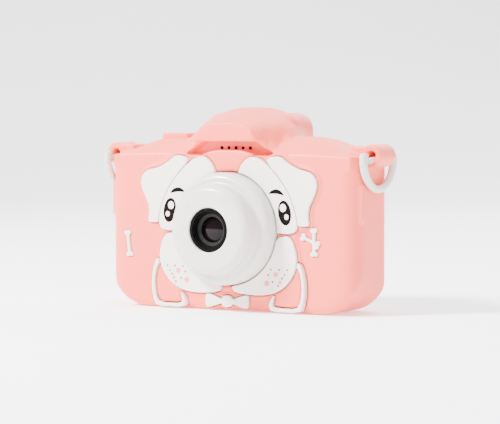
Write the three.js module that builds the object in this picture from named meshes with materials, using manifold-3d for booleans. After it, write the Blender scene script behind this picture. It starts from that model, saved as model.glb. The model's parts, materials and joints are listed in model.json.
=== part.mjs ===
// A kids digital camera in a soft silicone sleeve with a puppy on its front.
// Millimetres, +Z up, the lens looks along -Y, origin at the middle of the flat bottom.
import * as THREE from "three";
import { mergeVertices } from "three/addons/utils/BufferGeometryUtils.js";
import Module from "manifold-3d";

const wasm = await Module();
wasm.setup();

// ---- driving dimensions ----
const WIDTH = 104.4; // sleeve, across the flat sides
const DEPTH = 27; // sleeve, front face to rear face
const HEIGHT = 56.3; // sleeve, bottom to the straight front top edge
const CORNER = 15; // bottom corners in front view
const EDGE = 6.5; // upright corners in plan view
const SOFT = 3.2; // front and rear edges, all round
const FRONT = -DEPTH / 2;
const REAR = DEPTH / 2;
const SIDE = WIDTH / 2;
const GAP = 0.3; // between pieces that touch

const LENS_Z = 29.8;
const RING_R = 20.4; // white ring around the lens
const RING_FRONT = -21;
const NOSE_R = 16.2;
const NOSE_FRONT = -27.9;
const PUPIL_R = 7.7; // black cone inside the nose
const TUBE_R = 13; // hollow of the nose
const SLEEVE_HOLE_R = 20.9;

const HOOD_FRONT = -16.5; // the hood juts out over the lens
const HOOD_UNDER = HEIGHT + 5;
const RECESS_BACK = -8;
const RECESS_HALF = 18.5; // where the recess under the hood starts, narrowing upwards
const RECESS_TOP = 11;

const LUG_X = SIDE + 1.8;
const LUG_Z = HEIGHT + 0.2;
const LUG_R = 4.1;
const LUG_HALF = 6;
const LUG_HOLE_R = 1.8;
const WIRE_R = 1.375; // strap ring
const RING_HALF = 12; // strap ring, centre line

const BODY_HALF = 40.5; // plastic camera inside the sleeve
const BODY_LOW = 3.4;
const BODY_HIGH = 52.6;
const BODY_FRONT = -10.7;
const BODY_REAR = 12;
const BODY_CORNER = 9;
const SPLIT = 0; // where front and rear shells meet
const WALL = 1.6;
const HUMP_HALF = 13;
const HUMP_LOW = 47.6;
const HUMP_HIGH = 66;
const HUMP_FRONT = -5;
const HUMP_REAR = 14.8;
const BUMP_HALF = 19.3; // sleeve around the hump, seen from behind
const BUMP_HIGH = HEIGHT + 15.2;
const BUMP_REAR = 16.5;
const BUMP_CORNER = 6;

const SCREEN_X = 11; // display centre; the keys lie on the -X side
const SCREEN_Z = 27.5;
const KEYS_X = -27;
const KEYS_Z = 26;
const KEY_PITCH = 7.6;
const KEY_R = 3.1;
const KEY_CLEARANCE = 0.3;
const BOARD_Y = 4.6;

const SHUTTER_X = -29.5;
const SHUTTER_HALF = 6;
const SHUTTER_DEEP = 4;
const SHUTTER_Y = 1;
const SHUTTER_TOP = HEIGHT + 7.8;
const STEM = 1.8; // half width of the stem under the shutter button

const PORT_X = -8; // charging socket in the underside
const CARD_X = 8; // memory card slot in the underside
const PORT_Y = 2.9;

// ---- materials ----
const finish = (color, roughness, metalness = 0) =>
  new THREE.MeshStandardMaterial({ color, roughness, metalness });
const PINK = finish(0xf6b9b0, 0.55);
const TRIM = finish(0xece8e0, 0.5);
const WHITE = finish(0xe8e4df, 0.35);
const BLACK = finish(0x2a2a28, 0.4);
const GLASS = finish(0x39403f, 0.08);
const BOARD = finish(0x1f6b3f, 0.5);
const METAL = finish(0xb9bcc0, 0.3, 1);
const DARK = finish(0x17181a, 0.5);

// ---- small tools ----
const root = new THREE.Group();

function solid(geometry) {
  const g = geometry.clone();
  g.deleteAttribute("normal");
  g.deleteAttribute("uv");
  const merged = mergeVertices(g, 1e-4);
  return new wasm.Manifold(
    new wasm.Mesh({
      numProp: 3,
      vertProperties: merged.attributes.position.array,
      triVerts: new Uint32Array(merged.index.array),
    }),
  );
}

function geometryOf(body) {
  const mesh = body.getMesh();
  const stride = mesh.numProp;
  const positions = new Float32Array(mesh.numVert * 3);
  for (let i = 0; i < mesh.numVert; i++) {
    positions.set(mesh.vertProperties.subarray(i * stride, i * stride + 3), i * 3);
  }
  return new THREE.BufferGeometry()
    .setAttribute("position", new THREE.BufferAttribute(positions, 3))
    .setIndex(new THREE.BufferAttribute(new Uint32Array(mesh.triVerts), 1));
}

function add(name, body, material) {
  const geometry = body.isBufferGeometry ? body : geometryOf(body);
  const mesh = new THREE.Mesh(geometry, material);
  mesh.name = name;
  root.add(mesh);
}

// A front-view outline in X and Z, made solid from yFront back to yRear.
function plate(shape, yFront, yRear, segments = 5) {
  const geometry = new THREE.ExtrudeGeometry(shape, {
    depth: yRear - yFront,
    bevelEnabled: false,
    curveSegments: segments,
  });
  return geometry.rotateX(Math.PI / 2).translate(0, yRear, 0);
}

// The same, with its front and rear edges rounded to a radius.
function pillow(shape, yFront, yRear, radius, bevelSegments = 4, segments = 8) {
  const geometry = new THREE.ExtrudeGeometry(shape, {
    depth: yRear - yFront - 2 * radius,
    bevelThickness: radius,
    bevelSize: radius,
    bevelOffset: -radius,
    bevelSegments,
    curveSegments: segments,
  });
  return geometry.rotateX(Math.PI / 2).translate(0, yRear - radius, 0);
}

function box(x0, x1, y0, y1, z0, z1) {
  return new THREE.BoxGeometry(x1 - x0, y1 - y0, z1 - z0).translate(
    (x0 + x1) / 2,
    (y0 + y1) / 2,
    (z0 + z1) / 2,
  );
}

// A cylinder along Y.
function rod(radius, x, z, y0, y1, segments = 24) {
  return new THREE.CylinderGeometry(radius, radius, y1 - y0, segments).translate(x, (y0 + y1) / 2, z);
}

// A round piece about a line along Y: profile points are [radius, y], from back to front.
function turned(profile, x, z, segments = 48) {
  const points = profile.map(([r, y]) => new THREE.Vector2(r, -y));
  return new THREE.LatheGeometry(points, segments).rotateX(Math.PI).translate(x, 0, z);
}

function roundedBox(half, low, high, radius, x = 0) {
  const shape = new THREE.Shape();
  shape.moveTo(x - half + radius, low);
  shape.lineTo(x + half - radius, low);
  shape.absarc(x + half - radius, low + radius, radius, -Math.PI / 2, 0, false);
  shape.lineTo(x + half, high - radius);
  shape.absarc(x + half - radius, high - radius, radius, 0, Math.PI / 2, false);
  shape.lineTo(x - half + radius, high);
  shape.absarc(x - half + radius, high - radius, radius, Math.PI / 2, Math.PI, false);
  shape.lineTo(x - half, low + radius);
  shape.absarc(x - half + radius, low + radius, radius, Math.PI, 1.5 * Math.PI, false);
  return shape;
}

// A closed outline that runs smoothly through its points.
function smooth(points) {
  const shape = new THREE.Shape();
  const curve = new THREE.CatmullRomCurve3(
    points.map(([x, z]) => new THREE.Vector3(x, z, 0)),
    true,
    "centripetal",
  );
  shape.setFromPoints(curve.getPoints(points.length * 2).slice(0, -1));
  return shape;
}

const mirrored = (points) => points.map(([x, z]) => [-x, z]).reverse();
const union = (bodies) => bodies.map(solid).reduce((a, b) => a.add(b));

// The outline moved outwards by a distance, or inwards if it is negative.
function offset(points, by) {
  const count = points.length;
  return points.map(([x, z], i) => {
    const [ax, az] = points[(i + count - 1) % count];
    const [bx, bz] = points[(i + 1) % count];
    const length = Math.hypot(bx - ax, bz - az);
    return [x - (by * (bz - az)) / length, z + (by * (bx - ax)) / length];
  });
}

// ---- outlines of the puppy, right half, clockwise from the top ----
const EAR = [
  [16.2, 54.6],
  [19.5, 56.3],
  [22.4, 56.1],
  [25, 54.2],
  [29.6, 51.9],
  [34.3, 50.7],
  [36.9, 48.3],
  [37.2, 45],
  [35.9, 41.6],
  [34.1, 38],
  [33.8, 34.6],
  [34, 31.4],
  [31, 31],
  [29.3, 31.4],
  [28.9, 33.6],
  [27.7, 38],
  [25.1, 43.5],
  [20.7, 49.4],
];
const EYE_PATCH = [
  [9.4, 56],
  [12.4, 55.9],
  [16, 53.9],
  [21, 49.4],
  [25.4, 43.6],
  [28, 38],
  [29.2, 33.4],
  [29, 30],
  [27, 28.4],
  [23, 28.3],
  [17, 29.5],
  [15.4, 36.8],
  [10.4, 43],
  [3.6, 46.4],
  [4.6, 50.6],
  [6.2, 53.6],
];
const JOWL = [
  [22, 27.6],
  [26.2, 27.5],
  [28.2, 24],
  [29.2, 19.6],
  [27.9, 14.2],
  [24.4, 9.6],
  [20, 7],
  [15, 5.9],
  [9, 5.9],
  [3, 6.8],
  [2, 8.4],
  [3, 12],
  [10, 16],
  [16, 22],
];
const LEG = [
  [29.3, 18.2],
  [30.4, 17.6],
  [32.1, 11.8],
  [32, 6],
  [30.4, 1],
  [24.4, 0.6],
  [18.4, 0.9],
  [17.7, 3],
  [19.2, 6],
  [21.4, 6.2],
  [25.6, 9.2],
  [28.9, 15],
];

const LEG_INSIDE = [
  [29.4, 16.4],
  [30.9, 11.6],
  [30.8, 6.2],
  [29.3, 2.3],
  [24.4, 1.8],
  [19.5, 2.2],
  [19.1, 3.4],
  [20.4, 7.6],
  [24.4, 11.4],
  [27.4, 16],
];
const BOW = [
  [-8.6, 6.2],
  [-4.5, 5.2],
  [-2.2, 4.5],
  [-1.7, 5.6],
  [1.7, 5.6],
  [2.2, 4.5],
  [4.5, 5.2],
  [8.6, 6.2],
  [9.3, 3.4],
  [8.6, 0.8],
  [4.5, 1.6],
  [2.2, 2.3],
  [1.7, 1.2],
  [-1.7, 1.2],
  [-2.2, 2.3],
  [-4.5, 1.6],
  [-8.6, 0.8],
  [-9.3, 3.4],
];
const FACE_BACK = -12.6; // raised shapes are rooted this deep in the sleeve
const FACE_FRONT = -14.3;
const PATCH_ROOT = -12.4; // floor of the pockets that the white shapes sit in
const PATCH_FRONT = -14.9;
const FLAT_FRONT = -14; // shapes that lie on the flat of the sleeve
const LINE_ROOT = -12.6;
const RIM_R = 28.9;
const SIDES = { right: (points) => points, left: mirrored };
const BOW_ROOT = -11.5; // the bow and legs run on to the rounded bottom edge
const PATCHES = [EAR, EYE_PATCH, JOWL].flatMap((p) => [p, mirrored(p)]);

// A bone along a slanting line, with two knobs at each end.
function bone(x, z, length, lean, grow = 0) {
  const reach = length / 2;
  const knob = 0.85 + grow;
  const ends = [-1, 1].flatMap((end) =>
    [-1, 1].map((side) => [side * 0.7, end * (reach - knob + grow)]),
  );
  const front = grow ? FRONT - 2 : FLAT_FRONT;
  const back = LINE_ROOT + (grow ? 0 : -GAP);
  const turn = (px, pz) => [x + px * Math.cos(lean) + pz * Math.sin(lean), z + pz * Math.cos(lean) - px * Math.sin(lean)];
  const bar = box(-0.55 - grow, 0.55 + grow, front, back, -reach + knob, reach - knob);
  bar.rotateY(lean).translate(x, 0, z);
  const knobs = ends.map(([px, pz]) => rod(knob, ...turn(px, pz), front, back, 8));
  return union([bar, ...knobs]);
}

const BONE = [-43.2, 23.2, 9.8, -0.12];
const CROSSED = [
  [35.4, 25.8, 10.2, -0.02],
  [33.9, 26.2, 8.2, 2],
];
const crossedBones = (grow) => bone(...CROSSED[0], grow).add(bone(...CROSSED[1], grow));

// ---- sleeve: body, crowned top, hood and rear bump ----

// Height over the straight front top edge, of the shoulders and of the hood between them.
function crown(x, y) {
  const reach = Math.abs(x);
  const fallOff = Math.max(0, (reach - 28) / 17);
  const ridge = (6.8 - 4.4 * fallOff ** 2) * (1 - (reach / 51) ** 20);
  const across = (y - 1.5) / (y < 1.5 ? 14.6 : 12);
  const deck = ridge * Math.cos((Math.PI / 2) * Math.min(1, Math.abs(across))) ** 0.7;
  const rise = Math.min(1, (y - HOOD_FRONT) / 20.5);
  const widening = Math.min(1, (y - HOOD_FRONT) / 14);
  const roof = 11.8 + 5.6 * rise - 3 * Math.max(0, (y - 8) / 5.5);
  const power = 3 - 0.5 * widening;
  const within = Math.min(1, reach / (13.5 + 8.5 * widening));
  const hood = roof * (1 - within ** power) ** (1 / power);
  return Math.max(deck, hood, -1);
}

function crownSolid() {
  const half = 50;
  const low = HEIGHT - 4;
  const depth = REAR - 0.5 - HOOD_FRONT;
  const g = new THREE.BoxGeometry(2 * half, depth, 2, 36, 11, 1).translate(0, HOOD_FRONT + depth / 2, low);
  const p = g.attributes.position;
  for (let i = 0; i < p.count; i++) {
    p.setX(i, half * Math.sign(p.getX(i)) * Math.abs(p.getX(i) / half) ** 1.2); // closer together at the hood
    if (p.getZ(i) > low) p.setZ(i, HEIGHT + crown(p.getX(i), p.getY(i)));
  }
  return solid(g);
}

// The straight-sided block of the sleeve, without what stands on top.
function blockSolid() {
  const front = new THREE.Shape();
  const tall = HEIGHT + 12;
  front.moveTo(-SIDE + CORNER, 0);
  front.lineTo(SIDE - CORNER, 0);
  front.absarc(SIDE - CORNER, CORNER, CORNER, -Math.PI / 2, 0, false);
  front.lineTo(SIDE, tall);
  front.lineTo(-SIDE, tall);
  front.lineTo(-SIDE, CORNER);
  front.absarc(-SIDE + CORNER, CORNER, CORNER, Math.PI, 1.5 * Math.PI, false);
  const side = new THREE.Shape();
  const topEdge = 1.8;
  side.moveTo(FRONT - 1, -1);
  side.lineTo(REAR + 1, -1);
  side.lineTo(REAR + 1, HEIGHT - topEdge - 1);
  side.absarc(REAR - topEdge, HEIGHT - topEdge, topEdge, 0, Math.PI / 2, false);
  side.absarc(FRONT + topEdge, HEIGHT - topEdge, topEdge, Math.PI / 2, Math.PI, false);
  side.lineTo(FRONT - 1, HEIGHT - topEdge - 1);
  const slab = new THREE.ExtrudeGeometry(side, { depth: WIDTH + 2, bevelEnabled: false, curveSegments: 4 });
  slab.rotateX(Math.PI / 2).rotateZ(Math.PI / 2).translate(-SIDE - 1, 0, 0);
  const plan = new THREE.ExtrudeGeometry(roundedBox(SIDE, FRONT, REAR, EDGE), {
    depth: tall + 2,
    bevelEnabled: false,
    curveSegments: 4,
  }).translate(0, 0, -1);
  return solid(pillow(front, FRONT, REAR, SOFT, 3, 5)).intersect(solid(slab)).intersect(solid(plan));
}

// The hollow that the camera fills, with a gap all round and its rear at a given place.
function cameraSpace(gap, rear) {
  const main = plate(roundedBox(BODY_HALF + gap, BODY_LOW - gap, BODY_HIGH + gap, BODY_CORNER), BODY_FRONT - gap, rear);
  const hump = plate(
    roundedBox(HUMP_HALF + gap, HUMP_LOW - gap, HUMP_HIGH + gap, 3),
    HUMP_FRONT - gap,
    rear + HUMP_REAR - BODY_REAR,
  );
  return solid(main).add(solid(hump));
}

function faceSolid() {
  const above = LENS_Z - 2.2;
  const forehead = HEIGHT + 1.9;
  const upper = solid(rod(RIM_R, 0, LENS_Z, FACE_FRONT, FACE_BACK, 40)).intersect(
    solid(box(-40, 40, -20, 0, above, forehead)),
  );
  const raised = [JOWL, EAR].flatMap((p) => [p, mirrored(p)]).map((p) => plate(smooth(offset(p, 0.9)), FACE_FRONT, FACE_BACK));
  const legs = [LEG, mirrored(LEG)].map((p) => plate(smooth(offset(p, 0.35)), FACE_FRONT, -9));
  const chin = rod(SLEEVE_HOLE_R + 1.6, 0, LENS_Z, FACE_FRONT, FACE_BACK, 40);
  const bow = plate(smooth(offset(BOW, 0.6)), FLAT_FRONT, -9);
  return union([...raised, ...legs, chin, bow]).add(upper);
}

function lugs() {
  return [-1, 1].flatMap((s) => {
    const [inner, outer] = [s * 46, s * LUG_X].sort((a, b) => a - b);
    const rib = new THREE.CapsuleGeometry(1.6, 11, 3, 8).rotateX(Math.PI / 2);
    return [
      rod(LUG_R, s * LUG_X, LUG_Z, -LUG_HALF, LUG_HALF, 20),
      box(inner, outer, -LUG_HALF, LUG_HALF, HEIGHT - 3.9, LUG_Z + 3.4),
      rib.translate(s * (SIDE - 0.5), -8.6, HEIGHT - 16.6),
    ];
  });
}

function sleeve() {
  const bump = pillow(roundedBox(BUMP_HALF, HEIGHT - 5.6, BUMP_HIGH, BUMP_CORNER), 2, BUMP_REAR, 1.6, 2, 4);
  const hood = crownSolid().subtract(solid(box(-60, 60, -20, FRONT, 0, HOOD_UNDER)));
  const recessShape = new THREE.Shape([
    new THREE.Vector2(-RECESS_HALF, HEIGHT),
    new THREE.Vector2(RECESS_HALF, HEIGHT),
    new THREE.Vector2(RECESS_HALF, HEIGHT + 0.6),
    new THREE.Vector2(RECESS_TOP, HOOD_UNDER),
    new THREE.Vector2(-RECESS_TOP, HOOD_UNDER),
    new THREE.Vector2(-RECESS_HALF, HEIGHT + 0.6),
  ]);
  const recess = plate(recessShape, -20, RECESS_BACK);
  const outside = blockSolid().add(hood).add(solid(bump)).subtract(solid(recess)).add(faceSolid()).add(union(lugs()));
  const cuts = [
    plate(roundedBox(BODY_HALF - 1.8, BODY_LOW + 1.8, BODY_HIGH - 1.8, 8), 5, 20), // a lip holds the camera in
    plate(roundedBox(HUMP_HALF - 1.2, 40, HUMP_HIGH - 1.2, 3), 5, 20),
    rod(SLEEVE_HOLE_R, 0, LENS_Z, -20, 0, 40),
    box(SHUTTER_X - STEM - 0.6, SHUTTER_X + STEM + 0.6, SHUTTER_Y - STEM - 0.6, SHUTTER_Y + STEM + 0.6, 50, 90),
    shutterCap(KEY_CLEARANCE, HEIGHT + 1, 90),
    box(PORT_X - 6, PORT_X + 6, PORT_Y - 3, PORT_Y + 3, -1, 6),
    box(CARD_X - 7.5, CARD_X + 7.5, PORT_Y - 2.6, PORT_Y + 2.6, -1, 6),
  ];
  for (const s of [-1, 1]) cuts.push(rod(LUG_HOLE_R, s * LUG_X, LUG_Z, -10, 10, 14));
  for (let i = -2; i <= 2; i++) cuts.push(rod(0.6, i * 3, HEIGHT + 2.6, -10, -4, 6));
  for (const p of PATCHES) cuts.push(plate(smooth(p), -20, PATCH_ROOT));
  let body = outside.subtract(cameraSpace(GAP, BODY_REAR + GAP));
  for (const cut of cuts) body = body.subtract(solid(cut));
  for (const side of Object.values(SIDES)) body = body.subtract(legLine(side, GAP + 0.15));
  body = body.subtract(solid(plate(smooth(BOW), -20, BOW_ROOT)));
  return body.subtract(bone(...BONE, GAP)).subtract(crossedBones(GAP));
}

// The line that draws a leg, or the groove it lies in, which is wider all round by a clearance.
function legLine(side, clearance) {
  const front = clearance ? -20 : PATCH_FRONT;
  const back = clearance ? BOW_ROOT : BOW_ROOT - GAP;
  const outer = plate(smooth(offset(side(LEG), clearance)), front, back);
  const inner = plate(smooth(offset(side(LEG_INSIDE), -clearance)), -30, 0);
  return solid(outer).subtract(solid(inner));
}

function shutterCap(clearance, low, high) {
  const plan = roundedBox(
    SHUTTER_HALF + clearance,
    SHUTTER_Y - SHUTTER_DEEP - clearance,
    SHUTTER_Y + SHUTTER_DEEP + clearance,
    1.6,
    SHUTTER_X,
  );
  return new THREE.ExtrudeGeometry(plan, { depth: high - low, bevelEnabled: false, curveSegments: 4 }).translate(0, 0, low);
}

add("silicone_sleeve", sleeve(), PINK);
for (const [side, place] of Object.entries(SIDES)) {
  const shape = (points) =>
    solid(plate(smooth(offset(place(points), -GAP)), PATCH_FRONT, PATCH_ROOT - GAP)).subtract(
      solid(rod(SLEEVE_HOLE_R, 0, LENS_Z, -30, 0, 40)),
    );
  add(side + "_ear_patch", shape(EAR), TRIM);
  add(side + "_eye_patch", shape(EYE_PATCH), TRIM);
  add(side + "_jowl", shape(JOWL), TRIM);
  add(side + "_leg_outline", legLine(place, 0), TRIM);
}
add("bow_tie", plate(smooth(offset(BOW, -GAP)), PATCH_FRONT, BOW_ROOT - GAP), TRIM);
add("single_bone", bone(...BONE), TRIM);
add("crossed_bones", crossedBones(0), TRIM);

// ---- camera casing ----
const POSTS = [-1, 1].flatMap((s) => [8.6, 47.4].map((z) => [s * 35.4, z]));
const POST_R = 2.8;
const CAMERA_Z = 60.3; // rear camera, in the hump

function casing(front, rear) {
  const outer = cameraSpace(0, BODY_REAR).intersect(solid(box(-60, 60, front, rear, 0, 90)));
  const main = plate(
    roundedBox(BODY_HALF - WALL, BODY_LOW + WALL, BODY_HIGH - WALL, BODY_CORNER - WALL),
    BODY_FRONT + WALL,
    BODY_REAR - WALL,
  );
  const hump = plate(
    roundedBox(HUMP_HALF - WALL, HUMP_LOW + WALL, HUMP_HIGH - WALL, 1.4),
    HUMP_FRONT + WALL,
    HUMP_REAR - WALL,
  );
  return outer.subtract(solid(main)).subtract(solid(hump));
}

function posts(shell, y0, y1) {
  return POSTS.reduce((body, [x, z]) => body.add(solid(rod(POST_R, x, z, y0, y1, 16))), shell);
}

function drilled(shell, radius, y0, y1) {
  return POSTS.reduce((body, [x, z]) => body.subtract(solid(rod(radius, x, z, y0, y1, 16))), shell);
}

function frontShell() {
  let shell = posts(casing(-40, SPLIT - 0.15), BODY_FRONT + 0.5, SPLIT - 0.15);
  shell = drilled(drilled(shell, 1.25, -20, 5), 2.3, -20, BODY_FRONT + 1.6);
  shell = shell.subtract(solid(rod(TUBE_R - 0.5, 0, LENS_Z, -20, -5, 40)));
  return shell.subtract(solid(stemHole()));
}

const stemHole = () =>
  box(SHUTTER_X - STEM - 0.5, SHUTTER_X + STEM + 0.5, SHUTTER_Y - STEM - 0.5, SHUTTER_Y + STEM + 0.5, 50, 90);

const SCREEN_HALF = 23; // display window
const SCREEN_TALL = 18.2;
const screenShape = (grow) =>
  roundedBox(SCREEN_HALF + grow, SCREEN_Z - SCREEN_TALL - grow, SCREEN_Z + SCREEN_TALL + grow, 2 + grow / 2, SCREEN_X);

const KEYS = {
  up_key: [KEYS_X, KEYS_Z + KEY_PITCH],
  down_key: [KEYS_X, KEYS_Z - KEY_PITCH],
  left_key: [KEYS_X + KEY_PITCH, KEYS_Z],
  right_key: [KEYS_X - KEY_PITCH, KEYS_Z],
  ok_key: [KEYS_X, KEYS_Z],
  menu_key: [KEYS_X + 5.2, KEYS_Z + 15.6],
  power_key: [KEYS_X - 4.4, KEYS_Z + 15.6],
  playback_key: [KEYS_X, KEYS_Z - 16],
};

function rearShell() {
  let shell = posts(casing(SPLIT + 0.15, 40), SPLIT + 0.15, BODY_REAR - 0.5);
  shell = drilled(shell, 1.25, -5, 7);
  const cuts = [
    stemHole(),
    plate(screenShape(-1.3), 5, 20),
    plate(screenShape(0.3), BODY_REAR - 1.1, 20),
    rod(4.5, 0, CAMERA_Z, HUMP_REAR - 0.9, 20, 28),
    rod(3.4, 0, CAMERA_Z, 5, 20, 28),
    box(PORT_X - 5.2, PORT_X + 5.2, PORT_Y - 2.4, PORT_Y + 2.4, 0, 6),
    box(CARD_X - 6.2, CARD_X + 6.2, PORT_Y - 1.3, PORT_Y + 1.3, 0, 6),
    ...Object.values(KEYS).map(([x, z]) => rod(KEY_R, x, z, 5, 20, 16)),
  ];
  for (const cut of cuts) shell = shell.subtract(solid(cut));
  return shell;
}

add("front_shell", frontShell(), PINK);
add("rear_shell", rearShell(), PINK);
POSTS.forEach(([x, z], i) => {
  const screw = union([rod(1, x, z, BODY_FRONT + 1, 6, 12), rod(1.9, x, z, BODY_FRONT + 0.2, BODY_FRONT + 1.3, 12)]);
  add("screw_" + (i + 1), screw, METAL);
});

// ---- lens ----
const RING_BASE = BODY_FRONT - GAP;
add(
  "lens_base_ring",
  turned(
    [
      [RING_R, RING_BASE],
      [RING_R, RING_FRONT + 2.2],
      [RING_R - 0.7, RING_FRONT + 0.7],
      [RING_R - 2.2, RING_FRONT],
      [NOSE_R + GAP, RING_FRONT],
      [NOSE_R + GAP, RING_BASE],
      [RING_R, RING_BASE],
    ],
    0,
    LENS_Z,
    40,
  ),
  WHITE,
);
add(
  "lens_nose",
  turned(
    [
      [NOSE_R, RING_BASE],
      [NOSE_R, NOSE_FRONT + 2.8],
      [NOSE_R - 0.8, NOSE_FRONT + 0.8],
      [NOSE_R - 2.8, NOSE_FRONT],
      [PUPIL_R + GAP, NOSE_FRONT],
      [PUPIL_R + GAP, NOSE_FRONT + 7],
      [TUBE_R, NOSE_FRONT + 8.5],
      [TUBE_R, RING_BASE],
      [NOSE_R, RING_BASE],
    ],
    0,
    LENS_Z,
    40,
  ),
  WHITE,
);
add(
  "lens_trim_ring",
  turned(
    [
      [PUPIL_R - 1.6, NOSE_FRONT + 6.5],
      [PUPIL_R, NOSE_FRONT + 5.4],
      [PUPIL_R, NOSE_FRONT + 0.5],
      [PUPIL_R - 0.7, NOSE_FRONT + 0.5],
      [PUPIL_R - 1.7, NOSE_FRONT + 2.6],
      [PUPIL_R - 2.5, NOSE_FRONT + 6.5],
      [PUPIL_R - 1.6, NOSE_FRONT + 6.5],
    ],
    0,
    LENS_Z,
    40,
  ),
  BLACK,
);
add("lens_window", rod(PUPIL_R - 2.9, 0, LENS_Z, NOSE_FRONT + 4.6, NOSE_FRONT + 5.6, 32), GLASS);
add("front_camera_module", rod(4.6, 0, LENS_Z, -19.4, -9.1, 24), DARK);
add("front_camera_lens", rod(3.2, 0, LENS_Z, -20.6, -19.7, 24), GLASS);
add("camera_board", box(-13.6, 13.6, -8.8, -7.6, LENS_Z - 13.6, LENS_Z + 13.6), BOARD);
add("rear_camera_window", rod(4.2, 0, CAMERA_Z, HUMP_REAR - 0.6, HUMP_REAR - 0.1, 28), GLASS);
add("rear_camera_module", rod(3.1, 0, CAMERA_Z, 8.5, HUMP_REAR - 1.2, 20), DARK);

// ---- electronics ----
function circuitBoard() {
  const board = solid(box(-37.5, 37.5, BOARD_Y, BOARD_Y + 1.2, 6.2, 49.8));
  const notch = POST_R + 0.5;
  return POSTS.reduce((body, [x, z]) => {
    const [x0, x1] = [x - Math.sign(x) * notch, Math.sign(x) * 50].sort((a, b) => a - b);
    const up = z > LENS_Z;
    return body.subtract(solid(box(x0, x1, 0, 10, up ? z - notch : 0, up ? 60 : z + notch)));
  }, board);
}
add("main_circuit_board", circuitBoard(), BOARD);
add("battery", box(-37, -17, -7.6, -1.6, 12, 44), METAL);
add("speaker", rod(8, 25, 30, -8.6, -4.6, 28), DARK);
add("microphone", rod(1.8, 24, 14, -8.8, -7, 16), METAL);
add("display_panel", box(SCREEN_X - 22, SCREEN_X + 22, BOARD_Y + 1.5, 9.8, SCREEN_Z - 17.4, SCREEN_Z + 17.4), DARK);
add("display_window", plate(screenShape(0), BODY_REAR - 0.9, BODY_REAR - 0.1), GLASS);
const matFront = BOARD_Y + 1.5;
add("key_mat", union([box(-36.5, -16, matFront, 7.7, 12.2, 44), box(-31, -16, matFront, 7.7, 6.5, 13)]), WHITE);
add("shutter_switch", box(SHUTTER_X - 2.6, SHUTTER_X + 2.6, -1.6, 3.6, 45.8, 49.3), DARK);
const socket = solid(box(PORT_X - 4.5, PORT_X + 4.5, PORT_Y - 1.7, PORT_Y + 1.4, 5.3, 11)).subtract(
  solid(box(PORT_X - 4, PORT_X + 4, PORT_Y - 1.3, PORT_Y + 1, 0, 10.4)),
);
add("charging_socket", socket, METAL);
const cardHolder = solid(box(CARD_X - 6.4, CARD_X + 6.4, PORT_Y - 1.3, PORT_Y + 1.3, 5.3, 21)).subtract(
  solid(box(CARD_X - 5.8, CARD_X + 5.8, PORT_Y - 0.8, PORT_Y + 0.8, 0, 20.4)),
);
add("card_holder", cardHolder, METAL);
add("memory_card", box(CARD_X - 5.5, CARD_X + 5.5, PORT_Y - 0.45, PORT_Y + 0.45, 4, 19.2), DARK);

// ---- things that move ----
for (const [name, [x, z]] of Object.entries(KEYS)) {
  add(name, union([rod(KEY_R - KEY_CLEARANCE, x, z, 8.6, BODY_REAR + 1.2, 16), rod(KEY_R + 0.5, x, z, 8.4, 10.1, 16)]), WHITE);
}
const stem = box(SHUTTER_X - STEM, SHUTTER_X + STEM, SHUTTER_Y - STEM, SHUTTER_Y + STEM, 50.3, HEIGHT + 4);
add("shutter_button", union([shutterCap(0, HEIGHT + 2.2, SHUTTER_TOP), stem]), PINK);

function strapRing(s) {
  const bow = new THREE.CatmullRomCurve3(
    Array.from({ length: 17 }, (_, i) => {
      const angle = (i * Math.PI) / 16;
      return new THREE.Vector3(0, RING_HALF * Math.cos(angle), -RING_HALF * Math.sin(angle));
    }),
  );
  const section = new THREE.Shape().absarc(0, 0, WIRE_R, 0, 2 * Math.PI, false);
  const hoop = new THREE.ExtrudeGeometry(section, { steps: 18, extrudePath: bow, curveSegments: 5 });
  const corners = [-1, 1].map((end) => new THREE.SphereGeometry(WIRE_R, 10, 6).translate(0, end * RING_HALF, 0));
  const bar = rod(WIRE_R, 0, 0, -RING_HALF, RING_HALF, 10);
  return geometryOf(union([hoop, ...corners, bar])).translate(s * LUG_X, 0, LUG_Z);
}
add("right_strap_ring", strapRing(1), WHITE);
add("left_strap_ring", strapRing(-1), WHITE);

export default root;
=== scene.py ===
# A kids digital camera in a soft silicone sleeve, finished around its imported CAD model. Metres, +Z up, lens along -Y.
import json
import math

import bmesh
import bpy
from mathutils import Matrix, Vector


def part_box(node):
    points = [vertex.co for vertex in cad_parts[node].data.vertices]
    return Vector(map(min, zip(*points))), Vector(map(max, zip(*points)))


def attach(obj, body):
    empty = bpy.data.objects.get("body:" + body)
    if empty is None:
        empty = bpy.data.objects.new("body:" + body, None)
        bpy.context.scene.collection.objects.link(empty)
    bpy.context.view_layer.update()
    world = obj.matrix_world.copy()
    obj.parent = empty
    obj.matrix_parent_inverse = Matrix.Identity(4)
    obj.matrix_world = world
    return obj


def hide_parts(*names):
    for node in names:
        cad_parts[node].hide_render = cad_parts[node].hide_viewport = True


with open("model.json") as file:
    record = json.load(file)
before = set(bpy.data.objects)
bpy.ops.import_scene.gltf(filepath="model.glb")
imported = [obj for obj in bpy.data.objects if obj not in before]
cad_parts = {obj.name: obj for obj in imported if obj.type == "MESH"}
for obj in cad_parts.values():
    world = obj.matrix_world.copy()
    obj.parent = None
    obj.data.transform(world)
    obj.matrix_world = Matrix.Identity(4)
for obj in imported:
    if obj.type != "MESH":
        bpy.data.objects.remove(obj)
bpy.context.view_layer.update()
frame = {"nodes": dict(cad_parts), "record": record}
MM = 0.001
NODES = frame["nodes"]
BODY_OF = {node: body for body, nodes in frame["record"]["behaviour"]["bodies"].items() for node in nodes}
SLOT_OF = {row["node"]: row["material_slot"] for row in frame["record"]["subparts"]}


# ---- places, from the frame ----
def middle(node):
    low, high = (Vector(corner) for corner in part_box(node))
    return (low + high) / 2


def front_of(node):
    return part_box(node)[0][1]


def rear_of(node):
    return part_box(node)[1][1]


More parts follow.
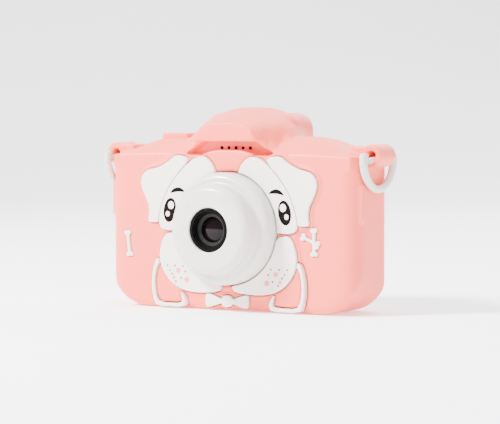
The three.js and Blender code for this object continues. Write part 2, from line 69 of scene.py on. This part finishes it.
LENS = middle("lens_nose")
FACE_FRONT = front_of("right_eye_patch")  # the raised white shapes end here


# ---- camera and light ----
VIEW_AZIMUTH = math.radians(30.5)  # from -Y towards +X
FLOOR = -0.0002
LIGHT_AIM = Vector((0, 0, 0.03))
WORLD_STRENGTH = 0.7
LIGHTS = (  # name, place, watts, size
    ("key", (-0.5, -0.62, 0.75), 52.0, 0.22),
    ("fill", (0.9, -0.6, 0.35), 7.5, 0.4),
    ("back", (0.1, 0.8, 0.7), 12.0, 0.8),
    ("top", (0, 0.1, 1.0), 12.0, 0.6),
)


def set_camera():
    away = 0.8
    eye_height = 0.0726
    aim_height = 0.0352
    aside = 0.001
    target = Vector((aside * math.cos(VIEW_AZIMUTH), aside * math.sin(VIEW_AZIMUTH), aim_height))
    place = Vector((away * math.sin(VIEW_AZIMUTH), -away * math.cos(VIEW_AZIMUTH), 0)) + target
    place.z = eye_height
    data = bpy.data.cameras.new("view")
    data.sensor_width = 36
    data.lens = 157
    camera = bpy.data.objects.new("view", data)
    camera.location = place
    camera.rotation_euler = (target - place).to_track_quat("-Z", "Y").to_euler()
    bpy.context.collection.objects.link(camera)
    bpy.context.scene.camera = camera


def area_light(name, place, watts, size):
    data = bpy.data.lights.new(name, "AREA")
    data.energy = watts
    data.size = size
    light = bpy.data.objects.new(name, data)
    light.location = place
    light.rotation_euler = (LIGHT_AIM - Vector(place)).to_track_quat("-Z", "Y").to_euler()
    bpy.context.collection.objects.link(light)


def set_studio():
    world = bpy.data.worlds.new("studio")
    bpy.context.scene.world = world
    world.use_nodes = True
    background = world.node_tree.nodes["Background"]
    background.inputs["Color"].default_value = (1, 1, 1, 1)
    background.inputs["Strength"].default_value = WORLD_STRENGTH
    for row in LIGHTS:
        area_light(*row)
    make_sweep()


def make_sweep():
    """A white floor that rises in a wide curve far behind the object, like a sheet of studio paper."""
    half_width = 5.0
    near_edge = -5.0
    bend_start = 0.9
    bend = 0.8
    wall_top = 3.0
    bend_steps = 24
    profile = [(near_edge, FLOOR)]
    for i in range(bend_steps + 1):
        a = math.pi / 2 * i / bend_steps
        profile.append((bend_start + bend * math.sin(a), bend * (1 - math.cos(a)) + FLOOR))
    profile.append((bend_start + bend, wall_top))
    turn = Matrix.Rotation(VIEW_AZIMUTH, 3, "Z")
    made = bmesh.new()
    left, right = (
        [made.verts.new(turn @ Vector((x, y, z))) for y, z in profile] for x in (-half_width, half_width)
    )
    for i in range(len(profile) - 1):
        made.faces.new((left[i], right[i], right[i + 1], left[i + 1]))
    mesh = bpy.data.meshes.new("sweep")
    made.to_mesh(mesh)
    made.free()
    for face in mesh.polygons:
        face.use_smooth = True
    paper = plain("sweep", (0.96, 0.96, 0.96), 0.9, Emission_Color=(1, 1, 1, 1), Emission_Strength=0.75)
    mesh.materials.append(paper)
    sweep = bpy.data.objects.new("sweep", mesh)
    bpy.context.collection.objects.link(sweep)


# ---- materials ----
TINT_SCALE = 70
GLOSS_SCALE = 240
GLOSS_SPREAD = 0.05
BUMP_STRENGTH = 0.35
RUBBER_GRAIN = (2600, 0.00003)  # noise scale and depth
PRINT_GRAIN = (2600, 0.00001)
PLASTIC_GRAIN = (3200, 0.00001)


def plain(name, colour, roughness, **extra):
    material = bpy.data.materials.new(name)
    material.use_nodes = True
    shader = material.node_tree.nodes["Principled BSDF"]
    shader.inputs["Base Color"].default_value = (*colour, 1)
    shader.inputs["Roughness"].default_value = roughness
    for key, value in extra.items():
        shader.inputs[key.replace("_", " ")].default_value = value
    return material


def surface(name, colour, roughness, variation, grain, **extra):
    """A moulded surface: slow colour drift, uneven gloss and a fine grain."""
    grain_scale, grain_depth = grain
    material = plain(name, colour, roughness, **extra)
    tree = material.node_tree
    shader = tree.nodes["Principled BSDF"]
    place = tree.nodes.new("ShaderNodeTexCoord")

    def noise(scale, detail):
        node = tree.nodes.new("ShaderNodeTexNoise")
        node.inputs["Scale"].default_value = scale
        node.inputs["Detail"].default_value = detail
        tree.links.new(place.outputs["Object"], node.inputs["Vector"])
        return node.outputs["Fac"]

    def spread(value, low, high):
        node = tree.nodes.new("ShaderNodeMapRange")
        node.inputs["From Min"].default_value = 0.3
        node.inputs["From Max"].default_value = 0.7
        node.inputs["To Min"].default_value = low
        node.inputs["To Max"].default_value = high
        tree.links.new(value, node.inputs["Value"])
        return node.outputs["Result"]

    tint = tree.nodes.new("ShaderNodeMix")
    tint.data_type = "RGBA"
    tint.inputs["A"].default_value = (*(c * (1 - variation) for c in colour), 1)
    tint.inputs["B"].default_value = (*(min(1, c * (1 + variation)) for c in colour), 1)
    tree.links.new(spread(noise(TINT_SCALE, 3), 0, 1), tint.inputs["Factor"])
    tree.links.new(tint.outputs["Result"], shader.inputs["Base Color"])
    gloss = spread(noise(GLOSS_SCALE, 4), roughness - GLOSS_SPREAD, roughness + GLOSS_SPREAD)
    tree.links.new(gloss, shader.inputs["Roughness"])
    bump = tree.nodes.new("ShaderNodeBump")
    bump.inputs["Strength"].default_value = BUMP_STRENGTH
    bump.inputs["Distance"].default_value = grain_depth
    tree.links.new(noise(grain_scale, 2), bump.inputs["Height"])
    tree.links.new(bump.outputs["Normal"], shader.inputs["Normal"])
    return material


PINK = (0.95, 0.128, 0.083)
MATERIALS = {
    "pink_silicone": surface(
        "pink_silicone",
        PINK,
        0.5,
        0.025,
        RUBBER_GRAIN,
        Subsurface_Weight=0.12,
        Subsurface_Radius=(0.004, 0.0015, 0.001),
        Subsurface_Scale=1.0,
        Sheen_Weight=0.08,
        Sheen_Roughness=0.4,
    ),
    "white_silicone": surface("white_silicone", (0.81, 0.755, 0.705), 0.5, 0.015, RUBBER_GRAIN, Sheen_Weight=0.05),
    "pink_plastic": surface("pink_plastic", (0.93, 0.12, 0.075), 0.3, 0.015, PLASTIC_GRAIN, Coat_Weight=0.15),
    "white_plastic": surface("white_plastic", (0.62, 0.59, 0.565), 0.3, 0.012, PLASTIC_GRAIN, Coat_Weight=0.15),
    "black_plastic": surface(
        "black_plastic", (0.004, 0.004, 0.0038), 0.4, 0.1, PLASTIC_GRAIN, Specular_IOR_Level=0.1
    ),
    "dark_glass": plain("dark_glass", (0.006, 0.007, 0.009), 0.08, Specular_IOR_Level=0.2),
    "circuit_board": surface("circuit_board", (0.02, 0.16, 0.06), 0.4, 0.2, (1500, 0.00002)),
    "key_rubber": surface("key_rubber", (0.6, 0.6, 0.58), 0.6, 0.03, RUBBER_GRAIN),
    "plated_metal": surface("plated_metal", (0.62, 0.62, 0.6), 0.28, 0.05, (3000, 0.00001), Metallic=1.0),
}
# Dark print for the eyes and brows, and painted shade for the sound holes.
INK_AND_HOLE_SHADE = surface("printed_ink_and_hole_shade", (0.004, 0.0015, 0.0015), 0.5, 0.1, PRINT_GRAIN, Specular_IOR_Level=0.05)
BROWN = plain("printed_brown", (0.22, 0.06, 0.06), 0.5)
SHINE = surface("printed_white", (0.80, 0.76, 0.74), 0.4, 0.01, PRINT_GRAIN)
SPOT = surface("printed_pink", (0.78, 0.2, 0.23), 0.45, 0.02, PRINT_GRAIN)
GREY = surface("grey_barrel", (0.012, 0.012, 0.011), 0.4, 0.05, PRINT_GRAIN, Specular_IOR_Level=0.12)
COATED = plain("coated_glass", (0.004, 0.002, 0.003), 0.06, Specular_IOR_Level=0.12)
BARREL = plain("barrel_black", (0.0025, 0.0025, 0.0024), 0.5, Specular_IOR_Level=0.03)
SCREEN = plain("screen_edge", (0.022, 0.023, 0.026), 0.3, Specular_IOR_Level=0.2)


# ---- pieces ----
def new_piece(name, mesh, body, slot, material=None, smooth=True):
    piece = bpy.data.objects.new(name, mesh)
    bpy.context.collection.objects.link(piece)
    mesh.materials.clear()
    mesh.materials.append(material or MATERIALS[slot])
    for face in mesh.polygons:
        face.use_smooth = smooth
    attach(piece, body)
    return piece


def evaluated_mesh(piece):
    """The piece's mesh with its modifiers or its bevel applied."""
    graph = bpy.context.evaluated_depsgraph_get()
    return bpy.data.meshes.new_from_object(piece.evaluated_get(graph))


def resculpt(node, voxel, rounds):
    """A CAD node made again as one fine skin with soft edges."""
    rough = bpy.data.objects.new(node + "_rough", NODES[node].data.copy())
    bpy.context.collection.objects.link(rough)
    remesh = rough.modifiers.new("remesh", "REMESH")
    remesh.mode = "VOXEL"
    remesh.voxel_size = voxel * MM
    smooth = rough.modifiers.new("smooth", "SMOOTH")
    smooth.factor = 0.5
    smooth.iterations = rounds
    mesh = evaluated_mesh(rough)
    bpy.data.objects.remove(rough)
    piece = new_piece(node + "_soft", mesh, BODY_OF[node], SLOT_OF[node])
    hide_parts(node)


def lathe(name, profile, centre, segments, body, slot, material=None):
    """A closed ring about a line along Y: profile points are (radius, y), a loop."""
    on_axis = 1e-7
    made = bmesh.new()
    rings = []
    for step in range(segments):
        angle = 2 * math.pi * step / segments
        cos, sin = math.cos(angle), math.sin(angle)
        rings.append([made.verts.new((centre[0] + r * cos, y, centre[2] + r * sin)) for r, y in profile])
    for step in range(segments):
        here, there = rings[step], rings[(step + 1) % segments]
        for i in range(len(profile)):
            j = (i + 1) % len(profile)
            if profile[i][0] < on_axis and profile[j][0] < on_axis:
                continue
            made.faces.new((here[i], here[j], there[j], there[i]))
    bmesh.ops.remove_doubles(made, verts=made.verts, dist=on_axis)
    bmesh.ops.recalc_face_normals(made, faces=made.faces)
    mesh = bpy.data.meshes.new(name)
    made.to_mesh(mesh)
    made.free()
    piece = new_piece(name, mesh, body, slot, material)
    mesh.set_sharp_from_angle(angle=math.radians(35))
    return piece


def arc(r, y, radius, start, end, steps):
    """Profile points round a corner whose centre is at (r, y), from one angle in degrees to another."""
    turn = (math.radians(start + (end - start) * i / steps) for i in range(steps + 1))
    return [(r + radius * math.cos(a), y + radius * math.sin(a)) for a in turn]


def decal(name, outline, front, thick, body, slot, material):
    """A thin printed or raised shape, or a disc of painted shade, flat across Y, with an outline of (x, z)."""
    made = bmesh.new()
    near = [made.verts.new((x, front, z)) for x, z in outline]
    far = [made.verts.new((x, front + thick, z)) for x, z in outline]
    made.faces.new(near)
    made.faces.new(far[::-1])
    for i in range(len(outline)):
        j = (i + 1) % len(outline)
        made.faces.new((near[i], far[i], far[j], near[j]))
    bmesh.ops.recalc_face_normals(made, faces=made.faces)
    mesh = bpy.data.meshes.new(name)
    made.to_mesh(mesh)
    made.free()
    return new_piece(name, mesh, body, slot, material, smooth=False)


def ellipse(x, z, half_x, half_z, lean=0, steps=40):
    points = []
    cos, sin = math.cos(lean), math.sin(lean)
    for i in range(steps):
        a = 2 * math.pi * i / steps
        u, v = half_x * math.cos(a), half_z * math.sin(a)
        points.append((x + u * cos + v * sin, z + v * cos - u * sin))
    return points


# ---- the sleeve and the puppy on it ----
RECESS_BACK = -8 * MM  # the wall under the hood, with the sound holes
HOLE_HEIGHT = 58.9 * MM
HOLE_PITCH = 3 * MM
SOFT_PARTS = (  # node, voxel size in mm, rounds of smoothing
    ("silicone_sleeve", 0.4, 14),
    ("left_ear_patch", 0.26, 8),
    ("left_eye_patch", 0.26, 8),
    ("left_jowl", 0.26, 8),
    ("left_leg_outline", 0.2, 4),
    ("right_ear_patch", 0.26, 8),
    ("right_eye_patch", 0.26, 8),
    ("right_jowl", 0.26, 8),
    ("right_leg_outline", 0.2, 4),
    ("bow_tie", 0.2, 5),
    ("single_bone", 0.18, 5),
    ("crossed_bones", 0.18, 5),
    ("shutter_button", 0.25, 14),
)


def make_sleeve():
    for row in SOFT_PARTS:
        resculpt(*row)
    # The sound holes are black discs on the recess wall: painted shade standing in for the dark inside of each hole.
    for i in range(5):
        hole = ellipse((i - 2) * HOLE_PITCH, HOLE_HEIGHT, 0.55 * MM, 0.6 * MM, steps=20)
        decal("sound_hole_%d" % (i + 1), hole, RECESS_BACK - 0.12 * MM, 0.2 * MM, "camera", "black_plastic", INK_AND_HOLE_SHADE)


# The face's right side in mm; the left side is its mirror image.
PRINT_LIFT = 0.1
PRINT_THICK = 0.2
EYE = (24.2, 36.0)
EYE_HALF = (2.6, 4.5)
EYE_LEAN = -0.16
EYE_LIGHTS = ((-0.6, 1.8, 1.25), (0.85, -1.4, 0.85))  # x and z from the eye's middle, radius
EYE_LIGHT_STRETCH = 1.15
BROW = (20.8, 42.5)
BROW_HALF = 3.2
BROW_LIFT = 1.1
BROW_THICK = 0.8
BROW_LEAN = -0.08
DOTS = (  # x, z, radius
    (17.5, 13.6, 0.4),
    (22.0, 15.6, 0.4),
    (23.2, 12.6, 0.4),
    (19.3, 11.2, 0.4),
    (25.3, 15.6, 0.35),
    (18.6, 15.6, 0.35),
    (21.6, 9.9, 0.4),
    (24.2, 13.9, 0.35),
)
SPOTS = ((20.6, 13.9, 0.95), (16.9, 10.6, 1.05), (22.4, 11.2, 0.6))


def make_face():
    for side, s in (("right", 1), ("left", -1)):
        slot = "white_silicone"
        x, z = EYE[0] * s * MM, EYE[1] * MM
        level = FACE_FRONT - PRINT_LIFT * MM
        outline = ellipse(x, z, EYE_HALF[0] * MM, EYE_HALF[1] * MM, EYE_LEAN * s)
        decal(side + "_eye", outline, level, PRINT_THICK * MM, "camera", slot, INK_AND_HOLE_SHADE)
        level -= PRINT_LIFT * MM
        for i, (dx, dz, r) in enumerate(EYE_LIGHTS):
            outline = ellipse(x + dx * s * MM, z + dz * MM, r * MM, EYE_LIGHT_STRETCH * r * MM)
            decal(side + "_eye_light_%d" % (i + 1), outline, level, 0.15 * MM, "camera", slot, SHINE)
        level = FACE_FRONT - PRINT_LIFT * MM
        decal(side + "_brow", brow(s), level, PRINT_THICK * MM, "camera", slot, INK_AND_HOLE_SHADE)
        level = FACE_FRONT - 0.08 * MM
        for i, (fx, fz, r) in enumerate(DOTS + SPOTS):
            material = BROWN if i < len(DOTS) else SPOT
            outline = ellipse(fx * s * MM, fz * MM, r * MM, r * MM, steps=20)
            decal(side + "_freckle_%d" % (i + 1), outline, level, PRINT_THICK * MM, "camera", slot, material)


def brow(side):
    """A crescent, thick in the middle."""
    half_steps = 6
    top, under = [], []
    for i in range(2 * half_steps + 1):
        t = -1 + i / half_steps
        fall = 1 - t * t
        lift = BROW_LIFT * fall
        thick = BROW_THICK * fall**0.7
        u = BROW_HALF * t
        top.append((u, lift + thick))
        under.append((u, lift - thick))
    outline = top + under[-2:0:-1]
    x, z = BROW[0] * side, BROW[1]
    cos, sin = math.cos(BROW_LEAN * side), math.sin(BROW_LEAN * side)
    return [((x + u * cos - v * sin) * MM, (z + u * sin + v * cos) * MM) for u, v in outline]


# ---- the lens ----
def make_lens():
    body, slot = "camera", "white_plastic"
    ring_low, ring_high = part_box("lens_base_ring")
    nose_low, nose_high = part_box("lens_nose")
    trim_low, trim_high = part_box("lens_trim_ring")
    outer = (ring_high[0] - ring_low[0]) / 2
    nose = (nose_high[0] - nose_low[0]) / 2
    pupil = (trim_high[0] - trim_low[0]) / 2
    ring_back, ring_front = ring_high[1], ring_low[1]
    nose_back, tip = nose_high[1], nose_low[1]

    edge = 2.8 * MM
    cove = 1.0 * MM
    profile = [(outer, ring_back)]
    profile += arc(outer - edge, ring_front + edge, edge, 0, -90, 12)
    profile += arc(nose + cove, ring_front - cove, cove, 90, 180, 6)
    profile += [(nose, ring_back)]
    ring = lathe("lens_base_ring_fine", profile, LENS, 128, body, slot)
    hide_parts("lens_base_ring")

    edge = 3.0 * MM
    lip = 0.5 * MM
    mouth = pupil + 0.3 * MM
    hollow = nose - 3 * MM
    profile = [(nose, nose_back)]
    profile += arc(nose - edge, tip + edge, edge, 0, -90, 10)
    profile += arc(mouth + lip, tip + lip, lip, -90, -180, 4)
    profile += [(mouth, tip + 7 * MM), (hollow, tip + 8.5 * MM), (hollow, nose_back)]
    piece = lathe("lens_nose_fine", profile, LENS, 128, body, slot)
    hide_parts("lens_nose")
    make_pupil(pupil, tip)


def make_pupil(pupil, tip):
    """The black funnel with its steps, a grey ridged ring and the dark glass inside it."""
    body, slot = "camera", "black_plastic"
    start = tip + 0.5 * MM
    profile = [(pupil, start + 5.6 * MM), (pupil, start)]
    radius, depth = pupil - 1.0 * MM, start
    for _ in range(2):
        floor = depth + 0.7 * MM
        profile += [(radius, depth), (radius - 0.1 * MM, floor), (radius - 0.3 * MM, floor)]
        radius -= 0.4 * MM
        depth += 0.75 * MM
    profile += [(radius, start + 6 * MM)]
    funnel = lathe("lens_trim_ring_fine", profile, LENS, 96, body, slot, BARREL)
    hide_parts("lens_trim_ring")

    hole = radius - 0.05 * MM
    back = start + 3.4 * MM
    profile = [(hole, back), (hole, back - 1.2 * MM)]
    for i in range(3):
        inner = hole - (0.25 + 0.45 * i) * MM
        level = back - (1.2 - 0.2 * i) * MM
        profile += [(inner, level), (inner - 0.1 * MM, level + 0.2 * MM)]
    bore = profile[-1][0]
    profile.append((bore, back))
    lathe("lens_inner_ring", profile, LENS, 96, body, slot, GREY)

    glass = bore - 0.04 * MM
    bulge = 1.1 * MM
    rim = back + 0.5 * MM
    rear = back + 0.6 * MM
    profile = []
    for i in range(17):
        a = i * math.pi / 32
        profile.append((glass * math.sin(a), rim - bulge * math.cos(a)))
    profile += [(glass, rear), (0, rear)]
    lens = lathe("lens_window_dome", profile, LENS, 64, body, "dark_glass", COATED)
    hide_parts("lens_window")


# ---- the strap rings ----
def ring_route(node):
    """The middle line of a D-shaped ring and its wire's radius: a half circle below a straight bar.

    The front corner's points stand three places before the end of the line, so the wire folds there.
    """
    low, high = (Vector(corner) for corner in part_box(node))
    wire = (high.x - low.x) / 2
    reach = (high.y - low.y) / 2 - wire
    top = high.z - wire
    x = (low.x + high.x) / 2
    corner = 1.6 * MM
    route = []
    for i in range(49):
        a = math.pi * i / 48
        point = Vector((x, reach * math.cos(a), top - reach * math.sin(a)))
        if point.z < top - corner:
            route.append(point)
    bend = [(reach - corner * (1 - math.sin(a)), top - corner * (1 - math.cos(a))) for a in (0, 0.5, 1.0)]
    rear_corner = [Vector((x, y, z)) for y, z in bend]
    front_corner = [Vector((x, -y, z)) for y, z in reversed(bend)]
    fold = len(route) - len(rear_corner)
    return rear_corner + route[:fold] + front_corner + route[fold:], wire


def make_strap_rings():
    for side in ("left", "right"):
        node = side + "_strap_ring"
        route, wire = ring_route(node)
        curve = bpy.data.curves.new(node + "_fine", "CURVE")
        curve.dimensions = "3D"
        spline = curve.splines.new("POLY")
        spline.points.add(len(route) - 1)
        for point, place in zip(spline.points, route):
            point.co = (*place, 1)
        spline.use_cyclic_u = True
        curve.bevel_depth = wire
        curve.bevel_resolution = 8
        rough = bpy.data.objects.new(node + "_curve", curve)
        bpy.context.collection.objects.link(rough)
        mesh = evaluated_mesh(rough)
        bpy.data.objects.remove(rough)
        piece = new_piece(node + "_fine", mesh, BODY_OF[node], SLOT_OF[node])
        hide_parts(node)


# ---- the back ----
KEY_MARK_SINK = 0.05 * MM
KEY_MARK_THICK = 0.12 * MM
KEY_ARROW = ((0, 1.25), (1.1, -0.6), (-1.1, -0.6))  # in mm, pointing up
KEY_TURNS = (("up", 0), ("right", 90), ("down", 180), ("left", 270))
KEY_ELLIPSES = (("menu", 1.0, 0.45), ("power", 1.0, 1.0), ("playback", 1.0, 0.45), ("ok", 0.75, 0.75))  # half sizes


def make_back():
    for name in (n for n in NODES if n.endswith("_key")):
        resculpt(name, 0.16, 5)
    make_screen_lines()
    for name, turn in KEY_TURNS:
        spot = middle(name + "_key")
        cos, sin = math.cos(math.radians(turn)), math.sin(math.radians(turn))
        outline = [(spot.x + (u * cos - v * sin) * MM, spot.z + (u * sin + v * cos) * MM) for u, v in KEY_ARROW]
        key_mark(name, outline)
    for name, half_x, half_z in KEY_ELLIPSES:
        spot = middle(name + "_key")
        key_mark(name, ellipse(spot.x, spot.z, half_x * MM, half_z * MM, steps=24))


def key_mark(name, outline):
    level = rear_of(name + "_key") - KEY_MARK_SINK
    decal(name + "_key_mark", outline, level, KEY_MARK_THICK, BODY_OF[name + "_key"], "white_plastic", GREY)


def make_screen_lines():
    """A thin frame just inside the display window's edge."""
    low, high = (Vector(corner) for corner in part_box("display_window"))
    centre = (low + high) / 2
    half = high - centre
    edge = 2.6 * MM
    rim = 0.5 * MM
    corners = ((-1, -1), (1, -1), (1, 1), (-1, 1))
    outer, inner = (
        [(centre.x + u * (half.x - inset), centre.z + v * (half.z - inset)) for u, v in corners]
        for inset in (edge, edge + rim)
    )
    thick = 0.12 * MM
    level = high.y + 0.02 * MM - thick
    for i in range(4):
        j = (i + 1) % 4
        outline = [outer[i], outer[j], inner[j], inner[i]]
        decal("screen_line_%d" % (i + 1), outline, level, thick, "camera", "dark_glass", SCREEN)


# ---- the CAD nodes that stay ----
def finish_cad_nodes():
    """They get their material and soft small edges."""
    for name, node in NODES.items():
        if node.hide_render:
            continue
        node.data.materials.clear()
        node.data.materials.append(MATERIALS[SLOT_OF[name]])
        bevel = node.modifiers.new("edges", "BEVEL")
        bevel.width = 0.15 * MM
        bevel.segments = 2
        bevel.limit_method = "ANGLE"
        bevel.angle_limit = math.radians(40)


set_camera()
set_studio()
make_sleeve()
make_face()
make_lens()
make_strap_rings()
make_back()
finish_cad_nodes()
